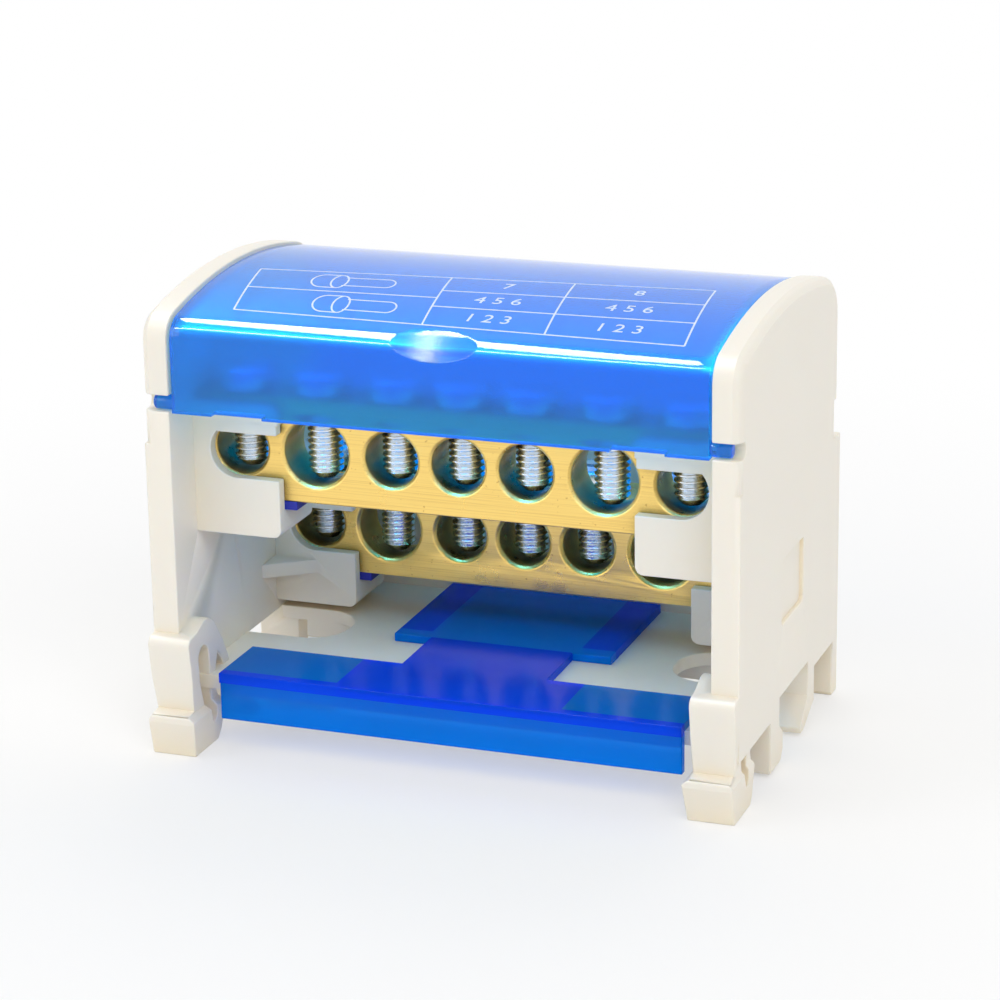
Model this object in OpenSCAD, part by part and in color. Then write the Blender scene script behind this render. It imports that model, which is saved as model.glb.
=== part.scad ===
// Power distribution block: two brass bars with clamping screws in an open-fronted
// moulded housing that clips onto a 35 mm rail, under a hinged clear cover.
// Lengths in millimetres.  X runs along the bars, Y from front to back, Z is up.
// Inside the modules Y starts at the front edge of the cheeks; centred() then
// moves every piece so that the origin is under the middle of the block.

/* [Housing] */
// Distance between the inner faces of the two cheeks
inner_w = 60.8; // [60.4:0.1:66]
// Thickness of each cheek
cheek_t = 3.1; // [2.6:0.1:3.6]
// Depth of the cheeks below the hood
body_d = 41; // [41:0.5:46]
// Depth of the hood that the cover closes
hood_d = 39.7; // [39.4:0.1:40]
// Height of the top of the hood
hood_top = 52; // [51.6:0.1:56]
// Radius of the curved top of the hood
crown_r = 70; // [60:1:90]
// Height of the faces that sit on the rail
seat_z = 6.4; // [6:0.1:6.5]
// Thickness of the floor
floor_t = 1.6; // [1.2:0.1:2]
// Thickness of the rear wall
rear_wall_t = 2; // [1.5:0.1:2.2]
// Width of the feet, the hooks and the prongs
foot_w = 5; // [4.4:0.1:5.4]

/* [Bars] */
// Thickness of each bar from front to back
bar_t = 6; // [5.5:0.1:6.4]
// Height of each bar
bar_h = 12; // [11.6:0.1:12.6]
// Front face of the upper bar behind the cheeks' front edge
front_bar_y = 7.2; // [6.8:0.1:8]
// Underside of the upper bar
front_bar_z = 27.9; // [27.4:0.1:28.4]
// Front face of the lower bar behind the cheeks' front edge
rear_bar_y = 27.7; // [27.4:0.1:28.4]
// Underside of the lower bar
rear_bar_z = 13.1; // [12.9:0.1:13.6]
// Diameter of the small wire holes
small_hole_d = 6.1; // [5:0.1:6.4]
// Diameter of the large wire holes, second from each end
large_hole_d = 7.5; // [6.5:0.1:7.8]
// Height of the wire holes' axes above the bar's underside
hole_rise = 5.7; // [5.4:0.1:6]
// Spacing of the small holes
small_pitch = 7.7; // [7.2:0.1:7.9]
// Spacing of a large hole and its neighbours
large_pitch = 8.8; // [8.4:0.1:9]
// Chamfer round the mouths of the wire holes
hole_chamfer = 0.35; // [0.2:0.05:0.5]

/* [Screws] */
// Diameter of the screws over the thread
screw_d = 3.9; // [3.4:0.1:4.2]
// Diameter of the screw heads
head_d = 6.6; // [5.6:0.1:6.9]
// Height of the screw heads
head_h = 2.3; // [1.8:0.1:2.6]
// Gap under the heads of the nearly closed screws
head_gap = 0.25; // [0.22:0.01:0.4]
// Gap between a screw's tip and the bottom of its wire hole
tip_gap = 0.9; // [0.7:0.05:1.2]
// Width of the driver slot
slot_w = 1; // [0.8:0.1:1.4]
// Depth of the driver slot
slot_depth = 1.2; // [0.8:0.1:1.5]

/* [Cover] */
// Wall of the clear cover
cover_t = 1.6; // [1.2:0.1:1.8]
// Lower edge of the cover at the front
cover_front_z = 39; // [38.8:0.1:39.1]
// Lower edge of the cover at the back
cover_rear_z = 31.2; // [31:0.1:34]
// Diameter of the hinge pins at the cover's front corners
pin_d = 1.7; // [1.5:0.05:1.75]
// Length of each hinge pin beyond the end of the cover
pin_l = 2.3; // [1.8:0.1:2.5]
// Height of the hinge pins' axis
pin_z = 40; // [39.9:0.05:40.1]
// Distance of the hinge pins' axis behind the cheeks' front edge
pin_y = 1.25; // [1.1:0.05:1.4]
// Width of the thumb grip scooped out of the cover's front rounding
grip_w = 9.6; // [7:0.2:12]
// Depth of the thumb grip
grip_depth = 0.75; // [0.5:0.05:0.9]

/* [Slide screen] */
// Width of the front strip of the slide screen
screen_w = 53.4; // [50:0.2:54]
// Depth of the front strip
screen_strip_d = 9.2; // [8.5:0.1:10]
// Width of the neck
screen_neck_w = 17; // [14:0.5:18]
// Length of the neck
screen_neck_l = 8.9; // [8:0.1:9.5]
// Width of the inner head
screen_head_w = 26; // [22:0.5:30]
// Thickness of the slide screen
screen_t = 1; // [0.9:0.05:1.05]
// Height of the lip that hangs from the front strip
screen_lip_h = 5.5; // [5:0.1:5.6]

/* [Hidden] */
$fn = 64;
eps = 0.01;
beyond = 1;                       // how far a cutter runs past the face it cuts

// Overall sizes
inner_x = inner_w / 2;
outer_x = inner_x + cheek_t;
hook_front_y = -2.3;              // front of the hook blocks, ahead of the cheeks
mid_y = (body_d + hook_front_y) / 2;
floor_z = seat_z + floor_t;

// Hood outline
front_fillet_r = 3;
rear_fillet_r = 5;
rim_round = 0.9;                  // rounding of the hood's outer edge
rear_notch_z = [31, 35.4];        // recess in the cheeks' rear edge
rear_notch_y = 38;
rear_wall_top = rear_notch_z[0] - 0.4;

// Hinge notch
pin_clear = 0.05;
notch_r = pin_d / 2 + pin_clear;

// Bars, their pockets and wedges
end_clear = 0.2;                  // bar end to cheek
bar_l = inner_w - 2 * end_clear;
hole_x = [-small_pitch - 2 * large_pitch, -small_pitch - large_pitch, -small_pitch, 0,
    small_pitch, small_pitch + large_pitch, small_pitch + 2 * large_pitch];
hole_d = [small_hole_d, large_hole_d, small_hole_d, small_hole_d,
    small_hole_d, large_hole_d, small_hole_d];
pocket_wall_t = 1.4;              // plates in front of and behind the bar ends
pocket_end_x = 20.3;              // inner ends of the pockets
wedge_t = 1;
wedge_reach = 1.4;                // how far the wedges stick out of their pockets
shelf_t = 3;
arm_round = 1;
slot_over = 0.05;                 // the pocket's slot is this much wider than the hole
pocket_over_hole = 5.4;           // pocket's top above the hole's axis
gusset_y = 3.9;
gusset_x = 5.4;
gusset_z = [3.8, 5.5];            // above the pocket's underside

// Screws
thread_clear = 0.05;
thread_hole_r = screw_d / 2 + thread_clear;
point_l = 0.5;                    // chamfered tip of each screw
head_edge = 0.4;

// Cover
cover_end_clear = 0.3;            // cover's ends to the cheeks
cover_inset = 0.3;                // cover's skin below the hood's rim
cover_l = inner_w - 2 * cover_end_clear;
lip_h = 0.85;                     // band along the cover's front edge
lip_proud = 0.12;
edge_notch_x = [19.5, 25.4];      // shallow cuts in the cover's front edge
edge_notch_h = 0.28;

// Slide screen
screen_front_y = 1.8;
screen_z = floor_z;
screen_rear_clear = 0.4;
screen_rear_y = body_d - rear_wall_t - screen_rear_clear;
screen_band_h = 1.2;              // plate's edge above the thinner lip
screen_lip_t = 1;
screen_lip_set = 0.3;             // lip set back from the plate's edge
screen_pocket = 0.4;              // depth of the hollows under the screen
screen_rib_x = 13;                // where the strip's hollows begin
screen_border = 1;                // solid border beside the hollows
screen_head_side = 4;             // from the head's sides to the inner ends of its hollows
screen_head_front = 2.2;          // from the neck to the head's hollows
screen_stop_gap = 0.4;            // lip to the front edge of the floor

// Rail clips, prongs and floor
floor_front_y = screen_front_y + screen_lip_set + screen_lip_t + screen_stop_gap;
raised_edge_z = floor_z - 0.1;    // cheek's lower edge between the prongs
prong_a = [12.3, 16, 17.5];       // front, back and barb of the front prong
prong_b = [25, 28, 30.7];         // toe, front and back of the rear prong
prong_z = 0.4;
foot_c = [38.4, 39.2];            // front of the rear foot at the ground and at the top
hole_floor_x = inner_x - 10.7;    // inner edge of the floor's rounded openings
hole_floor_y = [18, 27.6];
hole_floor_r = 4.4;
under_rib_z = 4.4;
under_rib_t = 1.2;
under_rib_gap = 1.2;
window_y = [16.5, 25.5];          // shallow panel in the outer faces of the cheeks
window_z = [16, 23.4];
window_depth = 0.5;
window_r = 0.6;

// Spring foot seen from the side: two legs round a leaf-shaped slot, on the hook block
loop_c = [3.1, 11.9];             // round top over the legs
loop_r = 2.8;
shoulder_c = [-0.6, 12.7];        // rounded corner above the front leg
shoulder_r = 1;
toe_c = [-1.8, 4.4];              // rounded upper corner of the hook block
toe_r = 0.5;
hook_top_z = 4;
hook_heel_y = 4.6;                // back of the hook block at the ground
hook_notch = [6.2, 4];            // tip of the barb behind the hook block
slot_top_c = [2.1, 10.6];
slot_top_r = 1.3;
slot_foot_c = [3.4, 3.2];
slot_foot_r = 0.6;
foot_top_z = 15.2;
foot_waist_z = [4.3, 4.9];        // narrowest part, just above the hook block
foot_waist = 0.3;

// Points along an arc from angle a0 to a1 about c
function arc(c, r, a0, a1, n) =
    [for (i = [0:n]) c + r * [cos(a0 + (a1 - a0) * i / n), sin(a0 + (a1 - a0) * i / n)]];

// Centre of a fillet of radius r between the crown and the upright at distance y from it
function fillet_z(crown_c, cr, r, y) = crown_c[1] + sqrt(pow(cr - r, 2) - pow(crown_c[0] - y, 2));

// Hood outline in Y and Z, moved inwards by inset, from height z_front round to z_rear
function hood_points(inset, z_front, z_rear) =
    let (c = [hood_d / 2, hood_top - crown_r],
         rf = front_fillet_r - inset,
         rr = rear_fillet_r - inset,
         cr = crown_r - inset,
         yf = front_fillet_r,
         yr = hood_d - rear_fillet_r,
         zf = fillet_z(c, cr, rf, yf),
         zr = fillet_z(c, cr, rr, yr),
         af = atan2(zf - c[1], yf - c[0]),
         ar = atan2(zr - c[1], yr - c[0]))
    concat([[inset, z_front]],
        arc([yf, zf], rf, 180, af, 6),
        arc(c, cr, af - (af - ar) / 16, ar + (af - ar) / 16, 14),
        arc([yr, zr], rr, ar, 0, 6),
        [[hood_d - inset, z_rear]]);

module centred() {
    translate([0, -mid_y, 0]) children();
}

// Extrudes an outline drawn in Y and Z along X, from x0 over a length
module along_x(x0, length) {
    translate([x0, 0, 0]) rotate([90, 0, 90]) linear_extrude(length) children();
}

// Extrudes an outline drawn in X and Z along Y, from y0 over a length
module along_y(y0, length) {
    translate([0, y0 + length, 0]) rotate([90, 0, 0]) linear_extrude(length) children();
}

module both_sides() {
    children();
    mirror([1, 0, 0]) children();
}

// A box given by its lowest and highest corners
module block(low, high) {
    translate(low) cube(high - low);
}

// A rectangle with round corners, from exact circles
module round_rect(low, high, r) {
    translate([low[0] + r, low[1]]) square([high[0] - low[0] - 2 * r, high[1] - low[1]]);
    translate([low[0], low[1] + r]) square([high[0] - low[0], high[1] - low[1] - 2 * r]);
    for (x = [low[0] + r, high[0] - r], y = [low[1] + r, high[1] - r])
        translate([x, y]) circle(r);
}

// ---- Housing -------------------------------------------------------------------

// Hood's side as a plate of a given thickness, with its outline moved inwards
module hood_plate(thickness, inset) {
    along_x(inner_x, thickness) polygon(hood_points(inset, rear_notch_z[1], rear_notch_z[1]));
}

// Upper part of one cheek, with its outer edge rounded over
module hood_side() {
    hull() {
        hood_plate(cheek_t - rim_round, 0);
        hood_plate(cheek_t - rim_round * 0.4, rim_round * 0.3);
        hood_plate(cheek_t, rim_round);
    }
}

// Lower part of one cheek: a flat plate with the rear recess and the raised lower edge
module cheek_side() {
    along_x(inner_x, cheek_t) difference() {
        union() {
            translate([0, seat_z]) square([body_d, rear_notch_z[0] - seat_z]);
            translate([0, rear_notch_z[0] - eps])
                square([rear_notch_y, rear_notch_z[1] - rear_notch_z[0] + 2 * eps]);
        }
        translate([prong_a[1], seat_z - beyond])
            square([prong_b[1] - prong_a[1], raised_edge_z - seat_z + beyond]);
    }
}

// Hook and spring leg at the front: a closed loop that hangs from the cheek
module spring_foot_outline() {
    difference() {
        polygon(concat(
            [[8.8, floor_z], [7.4, 10.6]],
            arc(loop_c, loop_r, 30, 120, 6),
            [[0.6, 13.9], [-0.6, 13.7]],
            arc(shoulder_c, shoulder_r, 110, 190, 4),
            [[-0.5, 5.1], [-2, 4.9]],
            arc(toe_c, toe_r, 120, 180, 3),
            [[hook_front_y, hook_top_z], [-1.4, 0], [hook_heel_y, 0], [5.3, 1], hook_notch,
             [5.3, 5.8], [5.2, 8.6], [5.7, 10], [7, 8.4], [7.3, 7.2], [8.8, 7.2]]));
        polygon(concat(
            arc(slot_top_c, slot_top_r, 180, 0, 8),
            [[3.6, 7.8], [3.9, 5]],
            arc(slot_foot_c, slot_foot_r, 0, -180, 6),
            [[2, 5.5], [1, 8]]));
    }
}

// The foot is narrower at its waist than at the hook block and the top
module spring_foot_front() {
    inner = outer_x - foot_w;
    polygon([[outer_x, foot_top_z], [outer_x, 9], [outer_x - foot_waist, 5.2],
        [outer_x - foot_waist, 4.7], [outer_x, foot_waist_z[0]], [outer_x, 0],
        [inner - 0.2, 0], [inner - 0.6, foot_waist_z[0]], [inner + 0.2, foot_waist_z[1]],
        [inner, 9], [inner, foot_top_z]]);
}

module spring_foot() {
    intersection() {
        along_x(outer_x - foot_w - beyond, foot_w + 2 * beyond) spring_foot_outline();
        along_y(hook_front_y - beyond, prong_a[0] - hook_front_y) spring_foot_front();
    }
}

// Barbed prongs that drop into the rail's channel, and the foot behind the rail
module prongs_and_rear_foot() {
    along_x(outer_x - foot_w, foot_w) {
        polygon([[prong_a[0], floor_z - eps], [prong_a[0], prong_z], [prong_a[2] - 0.9, prong_z],
            [prong_a[2], 1.7], [prong_a[2], 3.6], [prong_a[1], 4.8], [prong_a[1], floor_z - eps]]);
        polygon([[prong_b[1], floor_z - eps], [prong_b[1], 3.9], [prong_b[0], 1],
            [prong_b[0], prong_z], [prong_b[0] + 1.3, prong_z], [prong_b[2], 2.4],
            [prong_b[2], floor_z - eps]]);
        polygon([[foot_c[1], floor_z - eps], [foot_c[0], 0.4], [foot_c[0] + 0.4, 0],
            [body_d, 0], [body_d, floor_z - eps]]);
    }
}

// Floor with a rounded opening beside each cheek and a rib under it
module floor_plate() {
    difference() {
        block([-inner_x - eps, floor_front_y, seat_z], [inner_x + eps, body_d, floor_z]);
        both_sides()
            translate([0, 0, seat_z - beyond]) linear_extrude(floor_t + 2 * beyond)
                round_rect([hole_floor_x, hole_floor_y[0]],
                    [inner_x + hole_floor_r, hole_floor_y[1]], hole_floor_r);
    }
    block([-(outer_x - foot_w - under_rib_gap), hole_floor_y[1], under_rib_z],
        [outer_x - foot_w - under_rib_gap, hole_floor_y[1] + under_rib_t, seat_z + eps]);
}

// Plate of a pocket in X and Z, from height low to high, with round inner corners
module pocket_outline(low, high) {
    translate([pocket_end_x + arm_round, low])
        square([inner_x + eps - pocket_end_x - arm_round, high - low]);
    round_rect([pocket_end_x, low], [pocket_end_x + 4 * arm_round, high], arm_round);
}

// Front or rear plate of a pocket, with the slot that bares the bar's end hole
module pocket_plate_outline(bar_z) {
    hole_z = bar_z + hole_rise;
    slot_r = small_hole_d / 2 + slot_over;
    end_hole_x = hole_x[6];
    difference() {
        pocket_outline(bar_z - wedge_t - shelf_t, hole_z + pocket_over_hole);
        translate([end_hole_x, hole_z]) circle(slot_r);
        translate([pocket_end_x - beyond, hole_z - slot_r])
            square([end_hole_x - pocket_end_x + beyond, 2 * slot_r]);
    }
}

// Pocket that carries one end of a bar: a plate in front, a plate behind and a shelf
module bar_pocket(bar_y, bar_z) {
    along_y(bar_y - pocket_wall_t, pocket_wall_t) pocket_plate_outline(bar_z);
    along_y(bar_y + bar_t, pocket_wall_t) pocket_plate_outline(bar_z);
    along_y(bar_y - eps, bar_t + 2 * eps) intersection() {
        pocket_outline(bar_z - wedge_t - shelf_t, bar_z + bar_h);
        translate([0, bar_z - wedge_t - shelf_t]) square([outer_x, shelf_t]);
    }
}

// Flat gusset from the cheek to the front plate of the lower bar's pocket
module gusset(bar_y, bar_z) {
    low = bar_z - wedge_t - shelf_t;
    front = bar_y - pocket_wall_t;
    translate([0, 0, low + gusset_z[0]]) linear_extrude(gusset_z[1] - gusset_z[0])
        polygon([[inner_x + eps, front - gusset_y], [inner_x + eps, front + eps],
            [inner_x - gusset_x, front + eps]]);
}

module hinge_notch() {
    translate([inner_x - beyond, pin_y, pin_z]) rotate([0, 90, 0])
        cylinder(h = cheek_t + 2 * beyond, r = notch_r);
    block([inner_x - beyond, -beyond, pin_z - notch_r], [outer_x + beyond, pin_y, pin_z + notch_r]);
}

module housing() {
    color([0.93, 0.91, 0.84]) centred() {
        difference() {
            both_sides() {
                hood_side();
                cheek_side();
                spring_foot();
                prongs_and_rear_foot();
            }
            both_sides() {
                hinge_notch();
                along_x(outer_x - window_depth, beyond)
                    round_rect([window_y[0], window_z[0]], [window_y[1], window_z[1]], window_r);
            }
        }
        floor_plate();
        block([-inner_x - eps, body_d - rear_wall_t, seat_z],
            [inner_x + eps, body_d, rear_wall_top]);
        both_sides() {
            bar_pocket(front_bar_y, front_bar_z);
            bar_pocket(rear_bar_y, rear_bar_z);
            gusset(rear_bar_y, rear_bar_z);
        }
    }
}

// ---- Cover ---------------------------------------------------------------------

// Wall of the cover in Y and Z: the skin's outline out, and the same moved in by the wall back
module cover_outline() {
    skin = hood_points(cover_inset, cover_front_z, cover_rear_z);
    lining = hood_points(cover_inset + cover_t, cover_front_z, cover_rear_z);
    polygon(concat(skin, [for (i = [len(lining) - 1:-1:0]) lining[i]]));
    translate([cover_inset - lip_proud, cover_front_z]) square([lip_proud + eps, lip_h]);
}

// Round cutter across the front rounding at 45 degrees, which leaves the lens-shaped grip
module grip_cutter() {
    cutter_r = (pow(grip_w / 2, 2) + pow(grip_depth, 2)) / (2 * grip_depth);
    rounding_z = fillet_z([hood_d / 2, hood_top - crown_r], crown_r, front_fillet_r,
        front_fillet_r);
    out = front_fillet_r - cover_inset - grip_depth + cutter_r;
    translate([0, front_fillet_r, rounding_z]) rotate([45, 0, 0]) translate([0, 0, out])
        rotate([90, 0, 0]) cylinder(h = 4 * front_fillet_r, r = cutter_r, center = true, $fn = 160);
}

module cover() {
    color([0.05, 0.45, 0.95, 0.7]) centred() {
        difference() {
            along_x(-cover_l / 2, cover_l) cover_outline();
            grip_cutter();
            both_sides()
                block([edge_notch_x[0], -beyond, cover_front_z - beyond],
                    [edge_notch_x[1], hood_d / 2, cover_front_z + edge_notch_h]);
        }
        both_sides()
            translate([cover_l / 2 - 1, pin_y, pin_z]) rotate([0, 90, 0])
                cylinder(h = pin_l + 1, d = pin_d);
    }
}

// ---- Slide screen --------------------------------------------------------------

module slide_screen() {
    neck_y = screen_front_y + screen_strip_d;
    head_y = neck_y + screen_neck_l;
    top_z = screen_z + screen_t;
    color([0.05, 0.25, 0.85, 0.8]) centred() {
        difference() {
            union() {
                block([-screen_w / 2, screen_front_y, screen_z], [screen_w / 2, neck_y, top_z]);
                block([-screen_neck_w / 2, neck_y - eps, screen_z],
                    [screen_neck_w / 2, head_y + eps, top_z]);
                block([-screen_head_w / 2, head_y, screen_z],
                    [screen_head_w / 2, screen_rear_y, top_z]);
                block([-screen_w / 2, screen_front_y, top_z - screen_band_h],
                    [screen_w / 2, floor_front_y - screen_stop_gap, top_z]);
                block([-screen_w / 2, screen_front_y + screen_lip_set, top_z - screen_lip_h],
                    [screen_w / 2, screen_front_y + screen_lip_set + screen_lip_t, top_z - eps]);
            }
            both_sides() {
                block([screen_rib_x, floor_front_y, screen_z - beyond],
                    [screen_w / 2 - screen_border, neck_y - screen_border,
                        screen_z + screen_pocket]);
                block([screen_head_w / 2 - screen_head_side, head_y + screen_head_front,
                    screen_z - beyond],
                    [screen_head_w / 2 - screen_border, screen_rear_y - screen_border,
                        screen_z + screen_pocket]);
            }
        }
    }
}

// ---- Bars ----------------------------------------------------------------------

// Wire hole along Y with chamfered mouths, its axis at the origin
module wire_hole(d) {
    rotate([-90, 0, 0]) {
        translate([0, 0, -beyond]) cylinder(h = bar_t + 2 * beyond, d = d);
        translate([0, 0, -eps]) cylinder(h = hole_chamfer + eps,
            r1 = d / 2 + hole_chamfer + eps, r2 = d / 2);
        translate([0, 0, bar_t - hole_chamfer]) cylinder(h = hole_chamfer + eps,
            r1 = d / 2, r2 = d / 2 + hole_chamfer + eps);
    }
}

module bar(bar_y, bar_z) {
    difference() {
        block([-bar_l / 2, bar_y, bar_z], [bar_l / 2, bar_y + bar_t, bar_z + bar_h]);
        for (i = [0:6])
            translate([hole_x[i], bar_y, bar_z + hole_rise]) {
                wire_hole(hole_d[i]);
                translate([0, bar_t / 2, 0]) cylinder(h = bar_h, r = thread_hole_r);
            }
    }
}

module front_bar() {
    color([0.85, 0.68, 0.35]) centred() bar(front_bar_y, front_bar_z);
}

module rear_bar() {
    color([0.78, 0.66, 0.42]) centred() bar(rear_bar_y, rear_bar_z);
}

// ---- Screws --------------------------------------------------------------------

// Clamping screw i of a bar, nearly closed, with its head just above the bar
module clamp_screw(i, bar_y, bar_z) {
    tip_z = bar_z + hole_rise - hole_d[i - 1] / 2 + tip_gap;
    seat = bar_z + bar_h + head_gap;
    color([0.75, 0.77, 0.8]) centred() translate([hole_x[i - 1], bar_y + bar_t / 2, 0])
        difference() {
            union() {
                translate([0, 0, tip_z])
                    cylinder(h = point_l, r1 = screw_d / 2 - point_l, r2 = screw_d / 2);
                translate([0, 0, tip_z + point_l])
                    cylinder(h = seat - tip_z - point_l + eps, d = screw_d);
                translate([0, 0, seat]) cylinder(h = head_h - head_edge, d = head_d);
                translate([0, 0, seat + head_h - head_edge])
                    cylinder(h = head_edge, d1 = head_d, d2 = head_d - 2 * head_edge);
            }
            block([-head_d, -slot_w / 2, seat + head_h - slot_depth],
                [head_d, slot_w / 2, seat + head_h + beyond]);
        }
}

// ---- Wedges --------------------------------------------------------------------

// Strip between a pocket's shelf and the end of its bar
module wedge(side, bar_y, bar_z) {
    color([0.05, 0.12, 0.6]) centred() scale([side, 1, 1])
        block([pocket_end_x - wedge_reach, bar_y, bar_z - wedge_t], [bar_l / 2, bar_y + bar_t, bar_z]);
}

housing();
cover();
slide_screen();
front_bar();
rear_bar();
for (i = [1:7]) {
    clamp_screw(i, front_bar_y, front_bar_z);
    clamp_screw(i, rear_bar_y, rear_bar_z);
}
wedge(-1, front_bar_y, front_bar_z);  // front_left_wedge
wedge(1, front_bar_y, front_bar_z);  // front_right_wedge
wedge(-1, rear_bar_y, rear_bar_z);  // rear_left_wedge
wedge(1, rear_bar_y, rear_bar_z);  // rear_right_wedge
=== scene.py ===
"""Looks of the power distribution block: two brass bars in an ivory housing under a hinged blue cover.

Sizes are in millimetres and become metres where a mesh is made. X runs along the bars, Y from the
wire entries to the back, Z up from the rail, with the origin under the middle of the block.
"""
from math import radians

import bmesh
import bpy
import numpy as np
from mathutils import Matrix, Vector


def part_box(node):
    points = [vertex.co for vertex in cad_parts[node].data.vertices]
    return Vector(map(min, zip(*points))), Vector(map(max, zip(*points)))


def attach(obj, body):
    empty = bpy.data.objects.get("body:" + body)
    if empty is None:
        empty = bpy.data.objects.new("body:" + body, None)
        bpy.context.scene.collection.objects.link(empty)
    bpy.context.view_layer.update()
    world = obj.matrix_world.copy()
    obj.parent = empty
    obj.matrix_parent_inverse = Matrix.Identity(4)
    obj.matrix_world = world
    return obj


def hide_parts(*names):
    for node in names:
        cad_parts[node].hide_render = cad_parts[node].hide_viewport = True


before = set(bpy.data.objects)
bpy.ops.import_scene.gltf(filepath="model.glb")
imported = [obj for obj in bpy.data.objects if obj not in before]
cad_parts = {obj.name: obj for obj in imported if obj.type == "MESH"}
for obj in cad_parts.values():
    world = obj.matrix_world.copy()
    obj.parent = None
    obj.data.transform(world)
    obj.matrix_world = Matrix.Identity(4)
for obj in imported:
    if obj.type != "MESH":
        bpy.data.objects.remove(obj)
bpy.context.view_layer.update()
MM = 0.001


def node_box(name):
    """Lowest and highest corner of a solid of the frame, in millimetres."""
    low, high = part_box(name)
    return np.array(low) / MM, np.array(high) / MM


# ---- Camera --------------------------------------------------------------------
# A long lens in front of the block, to its right and a little above it, so that both
# rows of wire holes, the printed top of the cover and the right cheek are in view.

CAMERA_AT = (118.7, -319.55, 132.9)
CAMERA_TURN, CAMERA_TILT, CAMERA_ROLL = 20.75, 16.84, -1.03     # degrees

lens = bpy.data.cameras.new("camera")
lens.lens = 115.8
lens.sensor_width = 36
lens.shift_x, lens.shift_y = 0.0232, -0.0294
camera = bpy.data.objects.new("camera", lens)
bpy.context.scene.collection.objects.link(camera)
camera.matrix_world = (
    Matrix.Translation(Vector(CAMERA_AT) * MM)
    @ Matrix.Rotation(radians(CAMERA_TURN), 4, "Z")
    @ Matrix.Rotation(radians(90 - CAMERA_TILT), 4, "X")
    @ Matrix.Rotation(radians(CAMERA_ROLL), 4, "Z")
)
bpy.context.scene.camera = camera

# ---- Housing -------------------------------------------------------------------
# One moulding in ivory polyamide: two cheeks with the rail clips, the floor, the rear wall
# and the pockets for the bars. It comes out of the mould with slightly soft edges and a fine
# matt grain. Its corners get painted shade: a yellower, darker colour where ambient occlusion
# finds them closed in.

IVORY = (0.90, 0.855, 0.765)
# painted shade: the yellower, darker colour mixed into the housing's closed-in corners
IVORY_PAINTED_SHADE = (0.86, 0.70, 0.42)
MOULD_EDGE = 0.16
GRAIN_PER_M = 5200
MARK_BROWN = (0.22, 0.09, 0.04)


def shader_node(tree, kind, sockets=None, **settings):
    """A node whose settings are attributes and whose sockets take numbers or other nodes' sockets."""
    made = tree.nodes.new(kind)
    for key, value in settings.items():
        setattr(made, key, value)
    for key, value in (sockets or {}).items():
        if isinstance(value, bpy.types.NodeSocket):
            tree.links.new(value, made.inputs[key])
        elif isinstance(value, (tuple, list)) and len(made.inputs[key].default_value) == 4:
            made.inputs[key].default_value = (*value[:3], 1)
        else:
            made.inputs[key].default_value = value
    return made


def math_node(tree, operation, *values, clamp=False):
    """The result of one Math node on numbers or sockets."""
    return shader_node(tree, "ShaderNodeMath", dict(enumerate(values)), operation=operation,
                       use_clamp=clamp).outputs[0]


def vector_node(tree, operation, values, output=0):
    """The result of one Vector Math node on vectors or sockets."""
    return shader_node(tree, "ShaderNodeVectorMath", dict(enumerate(values)),
                       operation=operation).outputs[output]


def shade_group(name, inputs, outputs):
    """An empty shader node group with the named sockets, and its input and output nodes."""
    kinds = {"color": "NodeSocketColor", "vector": "NodeSocketVector", "float": "NodeSocketFloat"}
    tree = bpy.data.node_groups.new(name, "ShaderNodeTree")
    for label, (kind, value) in inputs.items():
        socket = tree.interface.new_socket(label, in_out="INPUT", socket_type=kinds[kind])
        socket.default_value = (*value, 1) if kind == "color" else value
    for label, kind in outputs.items():
        tree.interface.new_socket(label, in_out="OUTPUT", socket_type=kinds[kind])
    return tree, tree.nodes.new("NodeGroupInput").outputs, tree.nodes.new("NodeGroupOutput").inputs


def new_material(name):
    """A material with a Principled shader: its tree, the shader and the object coordinates."""
    material = bpy.data.materials.new(name)
    material.use_nodes = True
    tree = material.node_tree
    shader = tree.nodes["Principled BSDF"]
    place = tree.nodes.new("ShaderNodeTexCoord").outputs["Object"]
    return material, tree, shader, place


def feed(tree, shader, **values):
    """Sets the shader's sockets to numbers or links, with spaces in their names as underscores."""
    for key, value in values.items():
        socket = shader.inputs[key.replace("_", " ")]
        if isinstance(value, bpy.types.NodeSocket):
            tree.links.new(value, socket)
        elif isinstance(value, tuple) and len(value) == 3 and socket.type == "RGBA":
            socket.default_value = (*value, 1)
        else:
            socket.default_value = value


def place_group(tree, group, sockets):
    """A copy of a node group in a material, and its outputs."""
    made = shader_node(tree, "ShaderNodeGroup", node_tree=group)
    for key, value in sockets.items():
        if isinstance(value, bpy.types.NodeSocket):
            tree.links.new(value, made.inputs[key])
        elif isinstance(value, tuple):
            made.inputs[key].default_value = (*value, 1)
        else:
            made.inputs[key].default_value = value
    return made.outputs


# Moulded skin: a fine grain as height, and slow clouds of the mould's polish
moulded, given, result = shade_group(
    "moulded_skin",
    {"Place": ("vector", (0, 0, 0)), "Grain per metre": ("float", 5000.0),
     "Clouds per metre": ("float", 110.0)},
    {"Height": "float", "Clouds": "float"})
fine = shader_node(moulded, "ShaderNodeTexNoise",
                   {"Vector": given["Place"], "Scale": given["Grain per metre"], "Detail": 2.0})
slow = shader_node(moulded, "ShaderNodeTexNoise",
                   {"Vector": given["Place"], "Scale": given["Clouds per metre"], "Detail": 3.0})
moulded.links.new(fine.outputs["Fac"], result["Height"])
moulded.links.new(slow.outputs["Fac"], result["Clouds"])

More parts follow.
